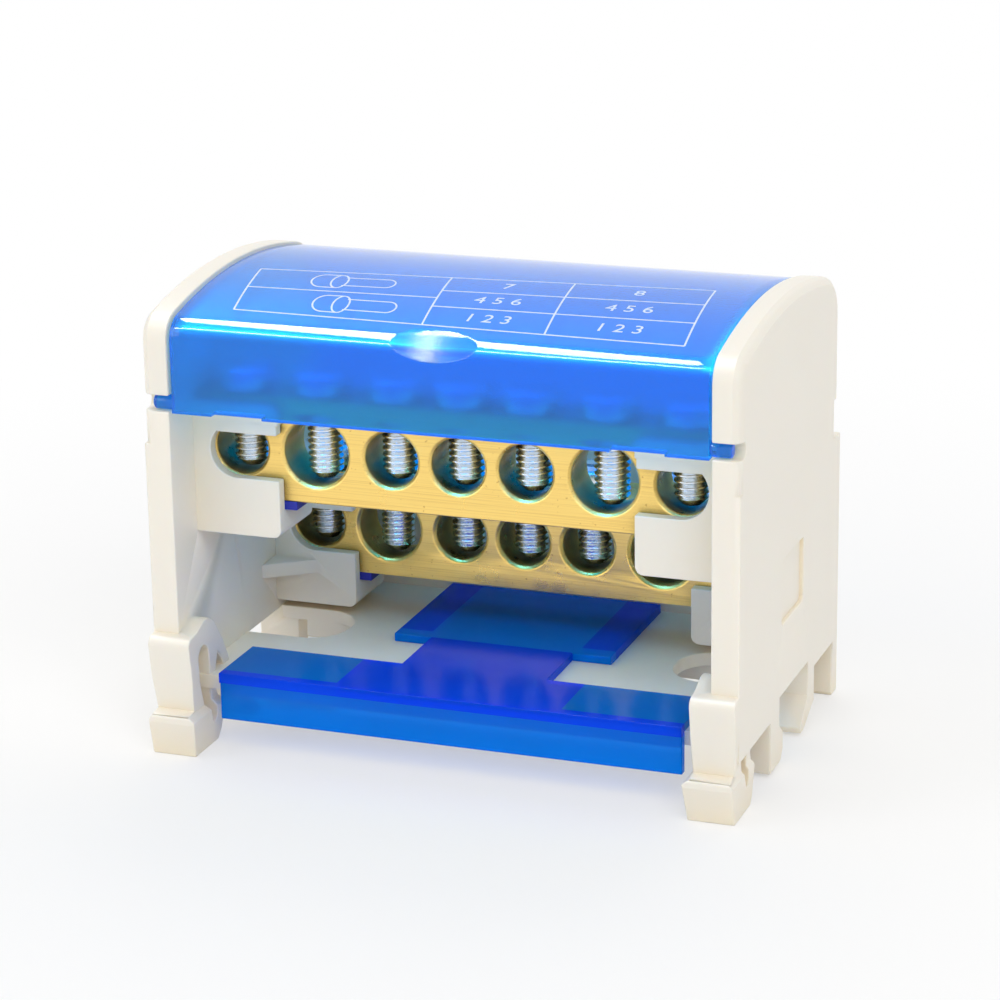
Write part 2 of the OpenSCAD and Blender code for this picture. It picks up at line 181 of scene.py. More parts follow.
# Stroke: a mask round the straight line between two points, one inside the line and none past it
stroke, given, result = shade_group(
    "stroke",
    {"Place": ("vector", (0, 0, 0)), "Start": ("vector", (0, 0, 0)),
     "End": ("vector", (0, 0, 0)), "Half width": ("float", 0.0001)},
    {"Mask": "float"})
along = vector_node(stroke, "SUBTRACT", (given["End"], given["Start"]))
offset = vector_node(stroke, "SUBTRACT", (given["Place"], given["Start"]))
share = math_node(stroke, "DIVIDE", vector_node(stroke, "DOT_PRODUCT", (offset, along), "Value"),
                  vector_node(stroke, "DOT_PRODUCT", (along, along), "Value"), clamp=True)
nearest = shader_node(stroke, "ShaderNodeVectorMath", {0: along, "Scale": share},
                      operation="SCALE").outputs[0]
miss = vector_node(stroke, "DISTANCE", (offset, nearest), "Value")
stroke.links.new(
    math_node(stroke, "SUBTRACT", 1.0, math_node(stroke, "DIVIDE", miss, given["Half width"]),
              clamp=True), result["Mask"])


def moulded_material(name, colour, corner, marks=()):
    """Satin moulded plastic: grain and clouds from the skin group, and painted shade, the corner
    colour mixed in where ambient occlusion finds it closed in.
    """
    material, tree, shader, place = new_material(name)
    skin = place_group(tree, moulded, {"Place": place, "Grain per metre": GRAIN_PER_M,
                                       "Clouds per metre": 110.0})
    # Painted shade: where ambient occlusion finds the surface closed in, the corner colour is mixed
    # in, more so under the clouds.
    closed_in = shader_node(tree, "ShaderNodeAmbientOcclusion", {"Distance": 0.007}, samples=3)
    depth = shader_node(tree, "ShaderNodeMapRange",
                        {0: closed_in.outputs["AO"], 1: 0.25, 2: 0.85, 3: 0.65, 4: 0.0})
    painted_shade_share = math_node(tree, "MULTIPLY", depth.outputs[0],
                     math_node(tree, "ADD", skin["Clouds"], 0.35), clamp=True)
    tint = shader_node(tree, "ShaderNodeMix", {"Factor": painted_shade_share, "A": colour, "B": corner},
                       data_type="RGBA")
    shade = tint.outputs["Result"]
    for start, end, half in marks:
        mask = place_group(tree, stroke, {"Place": place, "Half width": half * MM})["Mask"]
        mask.node.inputs["Start"].default_value = Vector(start) * MM
        mask.node.inputs["End"].default_value = Vector(end) * MM
        shade = shader_node(tree, "ShaderNodeMix", {"Factor": mask, "A": shade, "B": MARK_BROWN},
                            data_type="RGBA").outputs["Result"]
    rough = shader_node(tree, "ShaderNodeMapRange", {0: skin["Clouds"], 3: 0.36, 4: 0.52})
    bump = shader_node(tree, "ShaderNodeBump",
                       {"Height": skin["Height"], "Strength": 0.35, "Distance": 0.00002})
    feed(tree, shader, Base_Color=shade, Roughness=rough.outputs[0], Normal=bump.outputs[0],
         IOR=1.5, Subsurface_Weight=0.25, Subsurface_Radius=(1.0, 0.75, 0.5),
         Subsurface_Scale=0.0012)
    return material


def finished_copy(node, name, material, body, edge, sharp=32, tight=28):
    """A node's mesh welded into one surface with flat faces joined, its outer edges rounded by edge.
    An edge stays sharp where it leaves a neighbouring edge at less than the tight angle, because a
    rounding there would run out into a spike."""
    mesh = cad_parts[node].data.copy()
    mesh.name = name
    mesh.materials.clear()
    mesh.materials.append(material)
    shape = bmesh.new()
    shape.from_mesh(mesh)
    weight = shape.edges.layers.float.new("bevel_weight_edge")
    bmesh.ops.remove_doubles(shape, verts=shape.verts, dist=1e-6)
    bmesh.ops.dissolve_limit(shape, angle_limit=radians(0.3), verts=shape.verts,
                             edges=shape.edges)
    rounded = {line for line in shape.edges
               if line.is_convex and line.calc_face_angle(0) > radians(sharp)}
    for face in shape.faces:
        for corner in face.loops:
            here = corner.vert.co
            after = corner.link_loop_next.vert.co - here
            before = corner.link_loop_prev.vert.co - here
            if after.angle(before) < radians(tight):
                rounded -= {corner.edge, corner.link_loop_prev.edge}
    for line in rounded:
        line[weight] = 1.0
    shape.to_mesh(mesh)
    shape.free()
    mesh.shade_smooth()
    mesh.set_sharp_from_angle(angle=radians(sharp))
    piece = bpy.data.objects.new(name, mesh)
    bpy.context.scene.collection.objects.link(piece)
    round_over = piece.modifiers.new("edges", "BEVEL")
    round_over.width = edge * MM
    round_over.segments = 2
    round_over.limit_method = "WEIGHT"
    round_over.use_clamp_overlap = False
    round_over.harden_normals = True
    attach(piece, body)
    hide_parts(node)
    return piece


ROW_FRONT = -19.35
SCRATCHES = [((-29.39, ROW_FRONT, 37.06), (-29.6, ROW_FRONT, 36.02), 0.09),
             ((-29.6, ROW_FRONT, 36.02), (-29.85, ROW_FRONT, 35.1), 0.08),
             ((-29.6, ROW_FRONT, 36.02), (-29.5, ROW_FRONT, 35.0), 0.10)]
ivory = moulded_material("ivory_polyamide", IVORY, IVORY_PAINTED_SHADE, SCRATCHES)
housing = finished_copy("housing", "moulded_housing", ivory, "base", MOULD_EDGE)

# The pockets' front plates reach down over the top of each end hole, as a straight sill.
SILL_DROP = 1.15                                  # below the top of the slot that bares the hole
SILL_ENDS = (20.5, 28.2)
END_HOLE_R, HOLE_RISE = 3.1, 5.7
PLATE_T = 1.4

sills = []
for row in ("front", "rear"):
    low, high = node_box(f"{row}_bar")
    top = low[2] + HOLE_RISE + END_HOLE_R + 0.05
    for side in (-1, 1):
        x0, x1 = sorted(side * x for x in SILL_ENDS)
        y0, y1 = low[1] - PLATE_T + 0.02, low[1] - 0.02
        z0, z1 = top - SILL_DROP, top + 0.3
        sills.append(np.array([[x, y, z] for x in (x0, x1) for y in (y0, y1) for z in (z0, z1)]))
corners = np.concatenate(sills) * MM
sides = np.array([[0, 1, 3, 2], [4, 6, 7, 5], [0, 4, 5, 1], [2, 3, 7, 6], [0, 2, 6, 4],
                  [1, 5, 7, 3]])
sill_mesh = bpy.data.meshes.new("pocket_sills")
sill_mesh.from_pydata(corners, [], np.concatenate([sides + 8 * n for n in range(4)]).tolist())
sill_mesh.materials.append(ivory)
sill_piece = bpy.data.objects.new("pocket_sills", sill_mesh)
bpy.context.scene.collection.objects.link(sill_piece)
softened = sill_piece.modifiers.new("edges", "BEVEL")
softened.width, softened.segments = MOULD_EDGE * MM, 2
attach(sill_piece, "base")

# ---- Bars ----------------------------------------------------------------------
# Two drawn brass bars, sawn to length and drilled for seven wires each, with the mouths of
# the holes countersunk. Their faces keep the long fine lines of the drawing die.

BRASS = (1.0, 0.71, 0.22)
BRASS_LINE = (0.70, 0.43, 0.12)
BRASS_PAINTED_SHADE = (0.16, 0.12, 0.05)                   # painted shade inside the holes and beside the plates
BAR_EDGE = 0.14
LINES_ALONG, LINES_ACROSS = 60.0, 9000.0          # lines per metre of the bar's length and height


def brass_material():
    """Brass with lines along X: noise stretched by the ratio of the two line counts, darkened by
    painted shade where ambient occlusion finds it closed in.
    """
    material, tree, shader, place = new_material("drawn_brass")
    stretched = shader_node(tree, "ShaderNodeMapping",
                            {"Vector": place, "Scale": (LINES_ALONG, LINES_ACROSS, LINES_ACROSS)})
    lines = shader_node(tree, "ShaderNodeTexNoise",
                        {"Vector": stretched.outputs[0], "Scale": 1.0, "Detail": 4.0})
    blotches = shader_node(tree, "ShaderNodeTexNoise",
                           {"Vector": place, "Scale": 420.0, "Detail": 4.0})
    pits = shader_node(tree, "ShaderNodeTexNoise",
                       {"Vector": place, "Scale": 1900.0, "Detail": 1.0})
    pit = shader_node(tree, "ShaderNodeMapRange", {0: pits.outputs["Fac"], 1: 0.70, 2: 0.76})
    shade = shader_node(tree, "ShaderNodeMapRange",
                        {0: lines.outputs["Fac"], 1: 0.50, 2: 0.80, 3: 0.0, 4: 0.75})
    spots = math_node(tree, "MAXIMUM", shade.outputs[0], pit.outputs[0])
    colour = shader_node(tree, "ShaderNodeMix", {"Factor": spots, "A": BRASS, "B": BRASS_LINE},
                         data_type="RGBA")
    # Painted shade: ambient occlusion mixes the dark brass colour into the holes and beside the
    # plates.
    open_air = shader_node(tree, "ShaderNodeAmbientOcclusion", {"Distance": 0.0035}, samples=3)
    depth = shader_node(tree, "ShaderNodeMapRange",
                        {0: open_air.outputs["AO"], 1: 0.30, 2: 0.78, 3: 1.0, 4: 0.0})
    colour = shader_node(tree, "ShaderNodeMix",
                         {"Factor": depth.outputs[0], "A": colour.outputs["Result"],
                          "B": BRASS_PAINTED_SHADE}, data_type="RGBA")
    rough = shader_node(tree, "ShaderNodeMapRange",
                        {0: blotches.outputs["Fac"], 1: 0.3, 2: 0.7, 3: 0.24, 4: 0.42})
    bump = shader_node(tree, "ShaderNodeBump",
                       {"Height": lines.outputs["Fac"], "Strength": 0.25, "Distance": 0.00002})
    feed(tree, shader, Base_Color=colour.outputs["Result"], Metallic=1.0,
         Roughness=rough.outputs[0], Normal=bump.outputs[0])
    return material


brass = brass_material()
for row in ("front", "rear"):
    bar = finished_copy(f"{row}_bar", f"{row}_brass_bar", brass, "base", BAR_EDGE)

# ---- Wedges --------------------------------------------------------------------
# Strips of dark blue plastic pushed between each pocket's shelf and the end of its bar, which
# hold the bar up against the front and back plates.

WEDGE_BLUE = (0.010, 0.022, 0.42)
# painted shade colour for the strips' closed-in corners
WEDGE_PAINTED_SHADE = (0.004, 0.010, 0.20)
POCKET_END = 20.35                                # the right strips end inside their pockets

# The strips get the same painted shade as the housing in their closed-in corners, in the darker blue.
wedge_plastic = moulded_material("blue_wedge_plastic", WEDGE_BLUE, WEDGE_PAINTED_SHADE)
for row in ("front", "rear"):
    for side in ("left", "right"):
        wedge = finished_copy(f"{row}_{side}_wedge", f"{row}_{side}_strip", wedge_plastic, "base",
                              0.1)
        if side == "right":
            at = np.zeros(len(wedge.data.vertices) * 3)
            wedge.data.vertices.foreach_get("co", at)
            at[0::3] = np.maximum(at[0::3], POCKET_END * MM)
            wedge.data.vertices.foreach_set("co", at)

# ---- Screws --------------------------------------------------------------------
# Fourteen zinc-plated steel screws with M4 threads, one above each wire hole: rolled thread,
# chamfered tip, and a round head with a slot that is milled across it.

ZINC = (0.84, 0.90, 0.95)
ZINC_DULL = (0.70, 0.76, 0.82)
THREAD_PITCH = 0.7
THREAD_DEPTH = 0.4
ROWS_PER_TURN, POINTS_ROUND = 12, 44
SCREW_HEAD_H, HEAD_BEVEL = 2.3, 0.4
SLOT_WIDTH, SLOT_DEPTH = 1.0, 1.2
POINT_LENGTH, TIP_REACH = 0.9, 0.4                # the point reaches a little past the frame's solid


def ring(radius, z, points=POINTS_ROUND):
    """Points on a circle: (r cos a, r sin a, z)."""
    angle = np.linspace(0, 2 * np.pi, points, endpoint=False)
    return np.stack([radius * np.cos(angle), radius * np.sin(angle), np.full(points, z)], -1)


def segment_ring(radius, z, chord, side, points=24):
    """Outline of the part of a circle beyond the chord y = chord, on one side of the axis."""
    start = np.arcsin(chord / radius)
    angle = np.linspace(start, np.pi - start, points)
    outline = np.stack([radius * np.cos(angle), radius * np.sin(angle), np.full(points, z)], -1)
    return outline if side > 0 else outline * [-1, -1, 1]


def stack(rings):
    """Closed solid through rings of equal count, from the lowest to the highest: quads between
    neighbouring rings, and a fan from each end ring to its middle point."""
    rings = np.asarray(rings)
    rows, count = rings.shape[:2]
    row, col = np.meshgrid(np.arange(rows - 1), np.arange(count), indexing="ij")
    after = (col + 1) % count
    quads = np.stack([row * count + col, row * count + after, (row + 1) * count + after,
                      (row + 1) * count + col], -1).reshape(-1, 4)
    around = np.arange(count)
    following = (around + 1) % count
    foot, crown = rows * count, rows * count + 1
    last = (rows - 1) * count
    low_fan = np.stack([following, around, np.full(count, foot)], -1)
    top_fan = np.stack([last + around, last + following, np.full(count, crown)], -1)
    points = np.concatenate([rings.reshape(-1, 3), [rings[0].mean(0), rings[-1].mean(0)]])
    return points, quads.tolist() + low_fan.tolist() + top_fan.tolist()


def joined(solids):
    """Points and faces of several solids as one list of each."""
    points, faces, start = [], [], 0
    for solid_points, solid_faces in solids:
        points.append(solid_points)
        faces += [[start + corner for corner in face] for face in solid_faces]
        start += len(solid_points)
    return np.concatenate(points), faces


def thread(root, pitch, tip, top, point):
    """Threaded shank along Z. The radius at height z and angle a is root + depth * crest(t), where
    t = z / pitch - a / 2 pi and crest is a triangle wave with flat tops, cut back to a cone of 45
    degrees over the length of the point."""
    z = np.arange(tip, top, pitch / ROWS_PER_TURN)
    z = np.append(z, top)
    angle = np.linspace(0, 2 * np.pi, POINTS_ROUND, endpoint=False)
    turn = (z[:, None] / pitch - angle[None] / (2 * np.pi)) % 1.0
    crest = np.clip(1.35 - 2.7 * np.abs(turn - 0.5), 0, 1)
    radius = root + THREAD_DEPTH * crest
    radius = np.minimum(radius, root + THREAD_DEPTH - point + (z - tip)[:, None])
    return np.stack([radius * np.cos(angle), radius * np.sin(angle),
                     np.broadcast_to(z[:, None], radius.shape)], -1)


def mesh_piece(name, points, faces, material, body, sharp=35):
    """Object at the origin from points in millimetres, shaded smooth but for edges past sharp."""
    mesh = bpy.data.meshes.new(name)
    mesh.from_pydata(np.asarray(points) * MM, [], faces)
    mesh.materials.append(material)
    mesh.shade_smooth()
    mesh.set_sharp_from_angle(angle=radians(sharp))
    piece = bpy.data.objects.new(name, mesh)
    bpy.context.scene.collection.objects.link(piece)
    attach(piece, body)
    return piece


def zinc_material():
    """Bright zinc plating: a cool metal with faint clouds in its polish."""
    material, tree, shader, place = new_material("zinc_plated_steel")
    clouds = shader_node(tree, "ShaderNodeTexNoise",
                         {"Vector": place, "Scale": 900.0, "Detail": 3.0})
    rough = shader_node(tree, "ShaderNodeMapRange", {0: clouds.outputs["Fac"], 3: 0.16, 4: 0.34})
    colour = shader_node(tree, "ShaderNodeMix",
                         {"Factor": clouds.outputs["Fac"], "A": ZINC, "B": ZINC_DULL},
                         data_type="RGBA")
    feed(tree, shader, Base_Color=colour.outputs["Result"], Metallic=1.0,
         Roughness=rough.outputs[0])
    return material


zinc = zinc_material()
for row in ("front", "rear"):
    for place_number in range(1, 8):
        node = f"{row}_screw_{place_number}"
        low, high = node_box(node)
        axis = (low + high) / 2
        head_r = (high[0] - low[0]) / 2
        seat = high[2] - SCREW_HEAD_H
        shank_r = 1.95
        slot_floor = high[2] - SLOT_DEPTH
        shank = thread(shank_r - THREAD_DEPTH, THREAD_PITCH, low[2] - TIP_REACH, seat + 0.05,
                       POINT_LENGTH)
        head_base = [ring(head_r - 0.15, seat), ring(head_r, seat + 0.15),
                     ring(head_r, slot_floor)]
        lands = [
            [segment_ring(head_r, slot_floor - 0.1, SLOT_WIDTH / 2, side),
             segment_ring(head_r, high[2] - HEAD_BEVEL, SLOT_WIDTH / 2, side),
             segment_ring(head_r - 0.12, high[2] - 0.12, SLOT_WIDTH / 2, side),
             segment_ring(head_r - HEAD_BEVEL, high[2], SLOT_WIDTH / 2, side)]
            for side in (1, -1)]
        points, faces = joined([stack(part) for part in (shank, head_base, *lands)])
        points[:, :2] += axis[:2]
        screw = mesh_piece(f"{row}_clamp_screw_{place_number}", points, faces, zinc, node)
        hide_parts(node)

# ---- Cover ---------------------------------------------------------------------
# Clear blue polycarbonate, moulded as one curved shell with two hinge pins at its front corners.
# It is polished outside and frosted inside, with a lip along its front edge and a scooped thumb
# grip in the middle of the front rounding.

COVER_LOW, COVER_HIGH = node_box("cover")
HOUSING_LOW, HOUSING_HIGH = node_box("housing")
SHELL_T = 1.6
FRONT_Y = COVER_LOW[1]                            # front of the cover's skin
BACK_Y = COVER_HIGH[1]
FRONT_EDGE_Z, BACK_EDGE_Z = 39.0, COVER_LOW[2]
CROWN_R, FRONT_R, BACK_R = 69.7, 2.7, 4.7
SHELL_HALF = 30.1
PIN_R, PIN_END = 0.85, COVER_HIGH[0]
PIN_AXIS = (FRONT_Y + 0.95, 40.0)
GRIP_HALF_X, GRIP_DEPTH = 4.8, 0.75
NOTCH_X, NOTCH_H = (19.5, 25.4), 0.28
LIP_H, LIP_PROUD = 0.85, 0.12
MIDDLE_Y = (FRONT_Y + BACK_Y) / 2
CROWN_Z = COVER_HIGH[2] - CROWN_R                 # centre of the crown
FRONT_CENTRE = np.array([FRONT_Y + FRONT_R, CROWN_Z + np.sqrt(
    (CROWN_R - FRONT_R) ** 2 - (MIDDLE_Y - FRONT_Y - FRONT_R) ** 2)])
BACK_CENTRE = np.array([BACK_Y - BACK_R, CROWN_Z + np.sqrt(
    (CROWN_R - BACK_R) ** 2 - (BACK_Y - BACK_R - MIDDLE_Y) ** 2)])


def skin_section(inset):
    """Points of the cover's skin in Y and Z, moved inwards by inset, from the front edge over the
    front rounding, the crown and the back rounding to the back edge. Each round stretch is
    centre + r (cos a, sin a), and the roundings' centres stand crown radius - r from the crown's."""
    crown_centre = np.array([MIDDLE_Y, CROWN_Z])
    a_front = np.arctan2(*(FRONT_CENTRE - crown_centre)[::-1])
    a_back = np.arctan2(*(BACK_CENTRE - crown_centre)[::-1])

    def arc(centre, r, a0, a1, n):
        angle = np.linspace(a0, a1, n)
        return np.stack([centre[0] + r * np.cos(angle), centre[1] + r * np.sin(angle)], -1)

    def upright(y, z0, z1, n):
        return np.stack([np.full(n, y), np.linspace(z0, z1, n)], -1)

    lip_rows = upright(FRONT_Y + inset, FRONT_EDGE_Z, FRONT_EDGE_Z + LIP_H + 0.2, 6)
    return np.concatenate([
        lip_rows[:-1],
        upright(FRONT_Y + inset, FRONT_EDGE_Z + LIP_H + 0.2, FRONT_CENTRE[1], 16)[:-1],
        arc(FRONT_CENTRE, FRONT_R - inset, np.pi, a_front, 26)[:-1],
        arc(crown_centre, CROWN_R - inset, a_front, a_back, 52)[:-1],
        arc(BACK_CENTRE, BACK_R - inset, a_back, 0, 12)[:-1],
        upright(BACK_Y - inset, BACK_CENTRE[1], BACK_EDGE_Z, 8)])


def cover_shell():
    """The shell as one grid: a closed outline round its wall, carried along X. The grip is a round
    cut across the front rounding: at x no point stands further out from the rounding's centre, at
    45 degrees, than its radius - depth + R - sqrt(R^2 - x^2)."""
    outer, inner = skin_section(0.0), skin_section(SHELL_T)
    count = len(outer)
    step = np.gradient(outer, axis=0)
    inward = np.stack([step[:, 1], -step[:, 0]], -1)
    inward /= np.linalg.norm(inward, axis=1, keepdims=True)
    z_top = outer[:, 1].argmax()
    edge = 0.12
    x = np.unique(np.round(np.concatenate([
        np.linspace(-SHELL_HALF, SHELL_HALF, 41), np.linspace(-GRIP_HALF_X, GRIP_HALF_X, 81) * 1.02,
        [s * (n + d) for s in (-1, 1) for n in NOTCH_X for d in (-0.015, 0.015)],
        [s * (SHELL_HALF - d) for s in (-1, 1) for d in (edge * 0.3, edge)]]), 4))
    columns = len(x)
    outward = np.array([-1, 1]) / np.sqrt(2)
    cutter_r = (GRIP_HALF_X ** 2 + GRIP_DEPTH ** 2) / (2 * GRIP_DEPTH)
    floor = (FRONT_R - GRIP_DEPTH + cutter_r
             - np.sqrt(cutter_r ** 2 - np.clip(x, -GRIP_HALF_X, GRIP_HALF_X) ** 2))
    dip = np.clip((outer - FRONT_CENTRE) @ outward - floor[:, None], 0, None)
    points_out = outer[None] - outward * dip[..., None]
    points_in = np.broadcast_to(inner[None], points_out.shape).copy()
    # the lip's step on the outside and the two shallow cuts in the lower edge
    height = outer[:, 1] - FRONT_EDGE_Z
    front_rows = (np.arange(count) < z_top)
    proud = LIP_PROUD * np.clip((LIP_H + 0.1 - height) / 0.2, 0, 1) * front_rows
    points_out[..., 0] -= proud[None]
    cut = ((np.abs(x) > NOTCH_X[0]) & (np.abs(x) < NOTCH_X[1])) * NOTCH_H
    for skin in (points_out, points_in):
        rise = np.clip(FRONT_EDGE_Z + cut[:, None] - skin[..., 1], 0, None) * front_rows[None]
        skin[..., 1] += rise
    # ends drawn in by a small rounding
    from_end = SHELL_HALF - np.abs(x)
    draw = edge - np.sqrt(np.clip(edge ** 2 - np.clip(edge - from_end, 0, None) ** 2, 0, None))
    points_out += inward[None] * draw[:, None, None]
    points_in -= inward[None] * draw[:, None, None]
    loop = np.concatenate([points_out, points_in[:, ::-1]], 1)
    around = loop.shape[1]
    points = np.concatenate([np.broadcast_to(x[:, None, None], (columns, around, 1)), loop], -1)
    i, j = np.meshgrid(np.arange(columns - 1), np.arange(around), indexing="ij")
    k = (j + 1) % around
    quads = np.stack([i * around + j, (i + 1) * around + j, (i + 1) * around + k, i * around + k],
                     -1).reshape(-1, 4)
    j = np.arange(count - 1)
    first = np.stack([j, j + 1, around - 2 - j, around - 1 - j], -1)
    last = (first + (columns - 1) * around)[:, ::-1]
    frost = np.concatenate([np.clip(dip * 25, 0, 0.6), np.ones((columns, count))], 1)
    return points.reshape(-1, 3), np.concatenate([quads, first, last]).tolist(), frost.reshape(-1)


def hinge_pin(side):
    """Pin along X: rings of radius r, with the outer end rounded over as a quarter circle."""
    end_r = 0.3
    turn = np.linspace(0, np.pi / 2, 5)
    reach = np.concatenate([[SHELL_HALF - 0.02], PIN_END - end_r + end_r * np.sin(turn)])
    radius = np.concatenate([[PIN_R], PIN_R - end_r + end_r * np.cos(turn)])
    rings = np.stack([ring(r, x, 28) for r, x in zip(radius, reach)])
    points, faces = stack(rings)
    points = points[:, [2, 0, 1]] + [0, *PIN_AXIS]
    if side < 0:
        points[:, 0] *= -1
        faces = [face[::-1] for face in faces]
    return points, faces


COVER_TINT = (0.0, 0.33, 1.0)
COVER_THROUGH = (0.50, 0.78, 1.0)                # what lamps shine through it


def box_mask(tree, place, low, high):
    """One inside the box between two corners and none outside: the product over the three axes of
    (place > low) and (place < high)."""
    above = vector_node(tree, "SUBTRACT", (place, tuple(np.array(low) * MM)))
    below = vector_node(tree, "SUBTRACT", (tuple(np.array(high) * MM), place))
    least = vector_node(tree, "MINIMUM", (above, below))
    parts = shader_node(tree, "ShaderNodeSeparateXYZ", {"Vector": least}).outputs
    smallest = math_node(tree, "MINIMUM", math_node(tree, "MINIMUM", parts[0], parts[1]), parts[2])
    return math_node(tree, "GREATER_THAN", smallest, 0.0)


def clear_blue(name, tint, through, see_through, frosted, smooth, gloss, ior, painted_light_patches=()):
    """Clear coloured plastic. Lamps shine through it by a tinted Transparent shader, and its
    roughness runs from smooth to frosted by the piece's own frost value or by a number. Boxes of
    painted light and shade give parts of it another tint."""
    material, tree, shader, place = new_material(name)
    skin = place_group(tree, moulded, {"Place": place, "Grain per metre": 2600.0,
                                       "Clouds per metre": 90.0})
    frost = shader_node(tree, "ShaderNodeAttribute", attribute_name="frost").outputs["Fac"]
    rough = shader_node(tree, "ShaderNodeMapRange", {0: frost, 3: smooth, 4: frosted})
    height = math_node(tree, "MULTIPLY", skin["Height"], frost)
    bump = shader_node(tree, "ShaderNodeBump",
                       {"Height": height, "Strength": 0.5, "Distance": 0.00003})
    clouds = shader_node(tree, "ShaderNodeMapRange", {0: skin["Clouds"], 3: 0.9, 4: 1.06})
    # painted light and shade: each box puts its own tint on that part of the plastic
    for (low, high), painted_patch in painted_light_patches:
        mask = box_mask(tree, place, low, high)
        tint = shader_node(tree, "ShaderNodeMix", {"Factor": mask, "A": tint, "B": painted_patch},
                           data_type="RGBA").outputs["Result"]
    colour = shader_node(tree, "ShaderNodeMix",
                         {"Factor": 1.0, "A": tint, "B": clouds.outputs[0]},
                         data_type="RGBA", blend_type="MULTIPLY")
    feed(tree, shader, Base_Color=colour.outputs["Result"], Roughness=rough.outputs[0],
         Normal=bump.outputs[0], Transmission_Weight=see_through, IOR=ior,
         Specular_IOR_Level=gloss)
    clear = shader_node(tree, "ShaderNodeBsdfTransparent", {"Color": through})
    path = tree.nodes.new("ShaderNodeLightPath")
    unseen = math_node(tree, "MAXIMUM", path.outputs["Is Shadow Ray"],
                       path.outputs["Is Diffuse Ray"])
    mix = shader_node(tree, "ShaderNodeMixShader",
                      {0: unseen, 1: shader.outputs[0],
                       2: clear.outputs[0]})
    tree.links.new(mix.outputs[0], tree.nodes["Material Output"].inputs["Surface"])
    return material


cover_plastic = clear_blue("clear_blue_polycarbonate", COVER_TINT, COVER_THROUGH, 0.80, 0.34,
                           0.05, 0.35, 1.5)
points, faces, frost = cover_shell()
shell_count = len(points)
points, faces = joined([(points, faces), hinge_pin(1), hinge_pin(-1)])
cover = mesh_piece("hinged_cover", points, faces, cover_plastic, "cover")
values = np.zeros(len(points), np.float32)
values[:shell_count] = frost
cover.data.attributes.new("frost", "FLOAT", "POINT").data.foreach_set("value", values)
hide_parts("cover")

# ---- Printed table -------------------------------------------------------------
# A table of wire sizes in thin white ink on the cover's crown: a frame of three columns, two
# outlines of stripped wire ends on the left, and rows of plain numbers.

INK_WHITE = (0.86, 0.90, 0.96)
INK_T = 0.02
LINE_W = 0.20
TABLE = {"rear_left": (-26.2, 16.1), "rear_right": (24.9, 20.0),
         "front_left": (-24.2, 4.3), "front_right": (26.4, 3.7)}


def on_crown(x, y):
    """Height of the cover's crown at a place of the plan: centre + sqrt(R^2 - (y - middle)^2)."""
    return CROWN_Z + np.sqrt(CROWN_R ** 2 - (y - MIDDLE_Y) ** 2)


def ink_line(plan, width=LINE_W):
    """A thin band of ink along points of the plan, a rectangle of the line's width carried along."""
    plan = np.asarray(plan, float)
    along = np.gradient(plan, axis=0)
    across = np.stack([-along[:, 1], along[:, 0]], -1)
    across *= width / 2 / np.linalg.norm(across, axis=1, keepdims=True)
    left, right = plan + across, plan - across
    rings = []
    for edge, lift in ((left, -INK_T), (left, INK_T), (right, INK_T), (right, -INK_T)):
        rings.append(np.column_stack([edge, on_crown(edge[:, 0], edge[:, 1]) + lift]))
    return stack(np.stack(rings, 1))


def cell_point(u, v):
    """Place in the plan at share u across the table and v up it: the corners' bilinear mean."""
    corner = {name: np.array(at) - [0, 19.35] for name, at in TABLE.items()}
    u, v = np.asarray(u, float)[..., None], np.asarray(v, float)[..., None]
    return ((1 - u) * (1 - v) * corner["front_left"] + u * (1 - v) * corner["front_right"]
            + (1 - u) * v * corner["rear_left"] + u * v * corner["rear_right"])


def straight(u0, v0, u1, v1, n=14):
    """Straight stroke of the table between two of its places."""
    t = np.linspace(0, 1, n)
    return cell_point(u0 + (u1 - u0) * t, v0 + (v1 - v0) * t)


COLUMN = (0.43, 0.70)
strokes = [straight(0, 0, 1, 0), straight(0, 1, 1, 1), straight(0, 0, 0, 1),
           straight(1, 0, 1, 1), straight(COLUMN[0], 0, COLUMN[0], 1),
           straight(COLUMN[1], 0, COLUMN[1], 1), straight(0, 0.5, COLUMN[0], 0.5),
           straight(COLUMN[0], 0.33, 1, 0.33), straight(COLUMN[0], 0.66, 1, 0.66)]
turn = np.linspace(0, 2 * np.pi, 33)
for middle_u, middle_v in ((0.215, 0.75), (0.25, 0.25)):
    strokes.append(cell_point(middle_u - 0.055 + 0.028 * np.cos(turn[8:25]),
                              middle_v + 0.16 * np.sin(turn[8:25])))
    strokes.append(cell_point(middle_u - 0.02 + 0.018 * np.cos(turn), middle_v + 0.16 * np.sin(turn)))
    for side in (-1, 1):
        strokes.append(straight(middle_u - 0.055, middle_v + 0.16 * side, middle_u - 0.02,
                                middle_v + 0.16 * side, 6))
        strokes.append(straight(middle_u - 0.01, middle_v + 0.1 * side, middle_u + 0.085,
                                middle_v + 0.1 * side, 8))
    strokes.append(cell_point(middle_u + 0.085 + 0.02 * np.cos(turn[:17] - np.pi / 2),
                              middle_v + 0.1 * np.sin(turn[:17] - np.pi / 2)))
ink_points, ink_faces = joined([ink_line(plan) for plan in strokes])


